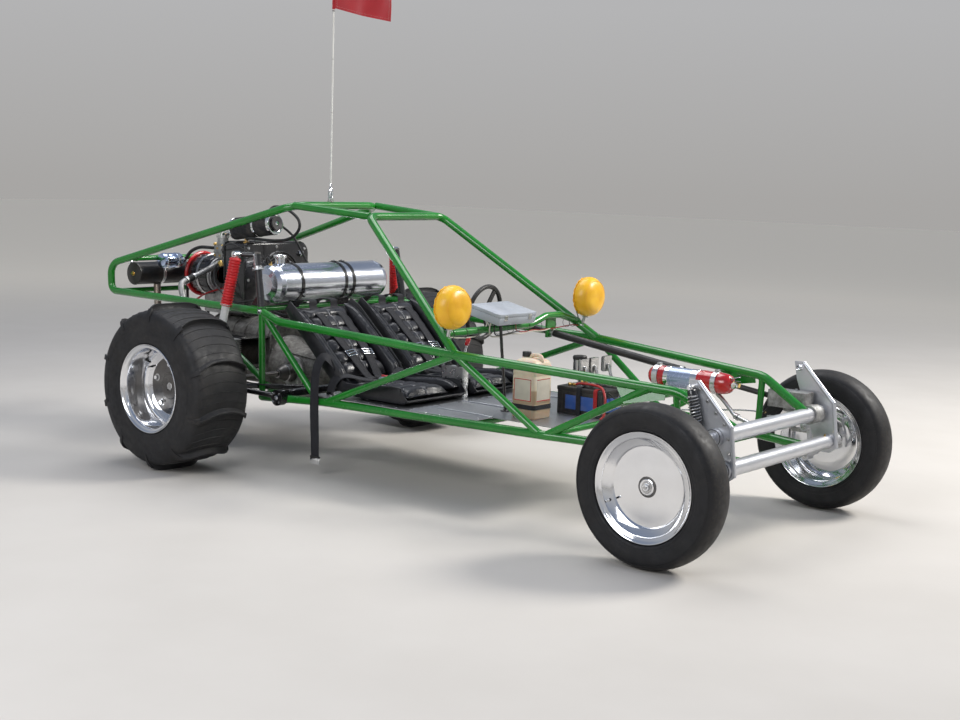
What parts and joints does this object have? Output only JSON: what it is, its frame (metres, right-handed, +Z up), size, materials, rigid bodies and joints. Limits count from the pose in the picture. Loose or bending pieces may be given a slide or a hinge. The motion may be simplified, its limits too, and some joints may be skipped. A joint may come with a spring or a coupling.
{
  "type": "dune buggy",
  "caption": "Open tube-frame two-seat dune buggy with a rear engine, paddle rear tyres, polished wheels, bucket seats, roll cage and working steering.",
  "frame": {"origin": "on the ground, midway between the foremost and rearmost points, on the centre line", "axes": "+X forward, +Y to the driver's left, +Z up"},
  "size_m": [3.9326, 2.04, 2.52],
  "materials": {
    "green_tube": "gloss green paint",
    "beam_silver": "bright plated",
    "box_grey": "light grey sheet metal box",
    "black_paint": "satin black paint",
    "floor_sheet": "brushed sheet",
    "seat_vinyl": "black vinyl with pleated grey panels",
    "tank_metal": "spun and polished",
    "black_plastic": "satin",
    "plain_steel": "machined",
    "light_yellow": "yellow cover over a chrome shell",
    "can_beige": "translucent plastic",
    "cylinder_red": "gloss red with a bright band",
    "chrome_parts": "polished",
    "shock_body": "white body with a red boot",
    "cast_alloy": "cast",
    "filter_metal": "chromed ends around a pleated element",
    "exhaust_steel": "heat-stained",
    "whip_fibre": "gloss",
    "flag_cloth": "woven nylon",
    "black_leather": "padded rim, dark spokes",
    "polished_aluminium": "polished",
    "tyre_rubber": "black rubber"
  },
  "bodies": {
    "root": {"front_beam": "beam_silver", "lower_frame": "green_tube", "upper_rails": "green_tube", "rear_cage": "green_tube", "side_braces": "green_tube", "roof_cage": "green_tube", "nose_frame": "green_tube", "floor_pan": "floor_sheet", "seat_left": "seat_vinyl", "seat_right": "seat_vinyl", "fuel_tank": "tank_metal", "tank_mounts": "black_paint", "instrument_box": "box_grey", "shift_levers": "black_paint", "pedals": "plain_steel", "headlights": "light_yellow", "battery": "black_plastic", "fluid_can": "can_beige", "fire_extinguisher": "cylinder_red", "steering_box": "chrome_parts", "front_arms": "beam_silver", "front_shocks": "shock_body", "rear_arms": "green_tube", "rear_shocks": "shock_body", "transaxle": "cast_alloy", "engine_block": "cast_alloy", "fan_shroud": "black_paint", "carburettor": "cast_alloy", "air_filter": "filter_metal", "exhaust": "exhaust_steel", "whip_pole": "whip_fibre", "flag": "flag_cloth"},
    "knuckle_left_body": {"knuckle_left": "plain_steel"},
    "knuckle_right_body": {"knuckle_right": "plain_steel"},
    "tie_rod_left_body": {"tie_rod_left": "chrome_parts"},
    "tie_rod_right_body": {"tie_rod_right": "chrome_parts"},
    "pitman_arm_body": {"pitman_arm": "plain_steel"},
    "steering_wheel_body": {"steering_wheel": "black_leather"},
    "wheel_front_left": {"rim_front_left": "polished_aluminium", "tyre_front_left": "tyre_rubber"},
    "wheel_front_right": {"rim_front_right": "polished_aluminium", "tyre_front_right": "tyre_rubber"},
    "wheel_rear_left": {"rim_rear_left": "polished_aluminium", "tyre_rear_left": "tyre_rubber", "half_shaft_left": "plain_steel"},
    "wheel_rear_right": {"rim_rear_right": "polished_aluminium", "tyre_rear_right": "tyre_rubber", "half_shaft_right": "plain_steel"}
  },
  "joints": [
    {"name": "steer_left", "type": "hinge", "parent": "root", "child": "knuckle_left_body", "pos_m": [1.6584, 0.585, 0.308], "axis": [0, 0, 1], "range_deg": [-30, 30]},
    {"name": "steer_right", "type": "hinge", "parent": "root", "child": "knuckle_right_body", "pos_m": [1.6584, -0.585, 0.308], "axis": [0, 0, 1], "range_deg": [-30, 30]},
    {"name": "drop_arm_turn", "type": "hinge", "parent": "root", "child": "pitman_arm_body", "pos_m": [1.6534, 0.365, 0.47], "axis": [0, 0, 1], "range_deg": [-30, 30]},
    {"name": "left_rod_turn", "type": "hinge", "parent": "pitman_arm_body", "child": "tie_rod_left_body", "pos_m": [1.5684, 0.365, 0.398], "axis": [0, 0, 1], "range_deg": [-30, 30]},
    {"name": "right_rod_turn", "type": "hinge", "parent": "pitman_arm_body", "child": "tie_rod_right_body", "pos_m": [1.5684, 0.365, 0.414], "axis": [0, 0, 1], "range_deg": [-30, 30]},
    {"name": "steering_wheel_turn", "type": "hinge", "parent": "root", "child": "steering_wheel_body", "pos_m": [0.1274, 0.268, 0.744], "axis": [-0.9859, -0.0689, 0.1524], "range_deg": [-360, 360]},
    {"name": "spin_front_left", "type": "hinge", "parent": "knuckle_left_body", "child": "wheel_front_left", "pos_m": [1.6584, 0.698, 0.308], "axis": [0, 1, 0], "continuous": true},
    {"name": "spin_front_right", "type": "hinge", "parent": "knuckle_right_body", "child": "wheel_front_right", "pos_m": [1.6584, -0.698, 0.308], "axis": [0, 1, 0], "continuous": true},
    {"name": "spin_rear_left", "type": "hinge", "parent": "root", "child": "wheel_rear_left", "pos_m": [-0.8926, 0.86, 0.39], "axis": [0, 1, 0], "continuous": true},
    {"name": "spin_rear_right", "type": "hinge", "parent": "root", "child": "wheel_rear_right", "pos_m": [-0.8926, -0.86, 0.39], "axis": [0, 1, 0], "continuous": true}
  ],
  "couplings": [
    {"joint": "steer_right", "follows": "steer_left", "ratio": 1},
    {"joint": "drop_arm_turn", "follows": "steer_left", "ratio": 1},
    {"joint": "left_rod_turn", "follows": "steer_left", "ratio": -1},
    {"joint": "right_rod_turn", "follows": "steer_left", "ratio": -1},
    {"joint": "steering_wheel_turn", "follows": "steer_left", "ratio": 12}
  ]
}
